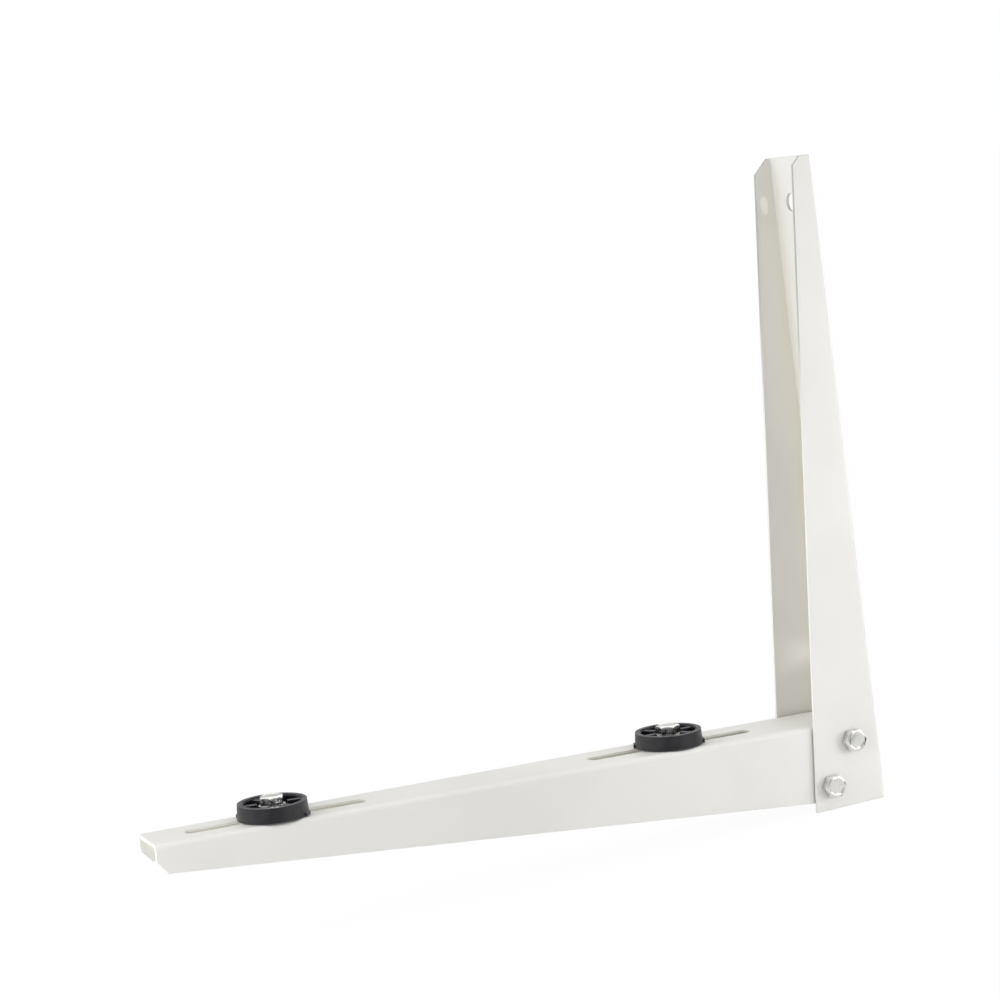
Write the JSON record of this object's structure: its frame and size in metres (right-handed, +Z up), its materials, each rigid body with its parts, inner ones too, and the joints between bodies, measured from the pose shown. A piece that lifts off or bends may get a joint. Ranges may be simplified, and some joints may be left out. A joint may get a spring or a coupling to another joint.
{
  "type": "air conditioner outdoor unit bracket",
  "caption": "White steel wall bracket of tapered pressed channels, bolted at the corner, with rubber dampers that slide in the arm's slots and carry an outdoor unit.",
  "frame": {"origin": "centre of the upright's flat back face, which lies on the wall, half way up the upright", "axes": "+X leaves the wall along the arm, +Y crosses the bracket to the right as seen by someone who faces the wall, +Z points up"},
  "size_m": [0.461, 0.0612, 0.4],
  "materials": {
    "warm_white_paint": "satin powder coat",
    "bright_zinc": "bright zinc plate",
    "black_rubber": "moulded, half matt"
  },
  "bodies": {
    "bracket": {"upright_channel": "warm_white_paint", "arm_channel": "warm_white_paint", "upper_right_corner_bolt": "bright_zinc", "upper_right_corner_washer": "bright_zinc", "upper_right_corner_nut": "bright_zinc", "lower_right_corner_bolt": "bright_zinc", "lower_right_corner_washer": "bright_zinc", "lower_right_corner_nut": "bright_zinc", "upper_left_corner_bolt": "bright_zinc", "upper_left_corner_washer": "bright_zinc", "upper_left_corner_nut": "bright_zinc", "lower_left_corner_bolt": "bright_zinc", "lower_left_corner_washer": "bright_zinc", "lower_left_corner_nut": "bright_zinc"},
    "inner_mount": {"inner_damper": "black_rubber", "inner_damper_washer": "bright_zinc", "inner_damper_bolt": "bright_zinc", "inner_slot_washer": "bright_zinc", "inner_damper_nut": "bright_zinc"},
    "outer_mount": {"outer_damper": "black_rubber", "outer_damper_washer": "bright_zinc", "outer_damper_bolt": "bright_zinc", "outer_slot_washer": "bright_zinc", "outer_damper_nut": "bright_zinc"}
  },
  "joints": [
    {"name": "inner_damper_slide", "type": "slide", "parent": "bracket", "child": "inner_mount", "axis": [0.999, 0, 0.0436], "range_m": [-0.0505, 0.0505]},
    {"name": "outer_damper_slide", "type": "slide", "parent": "bracket", "child": "outer_mount", "axis": [0.999, 0, 0.0436], "range_m": [-0.0525, 0.0485]}
  ]
}
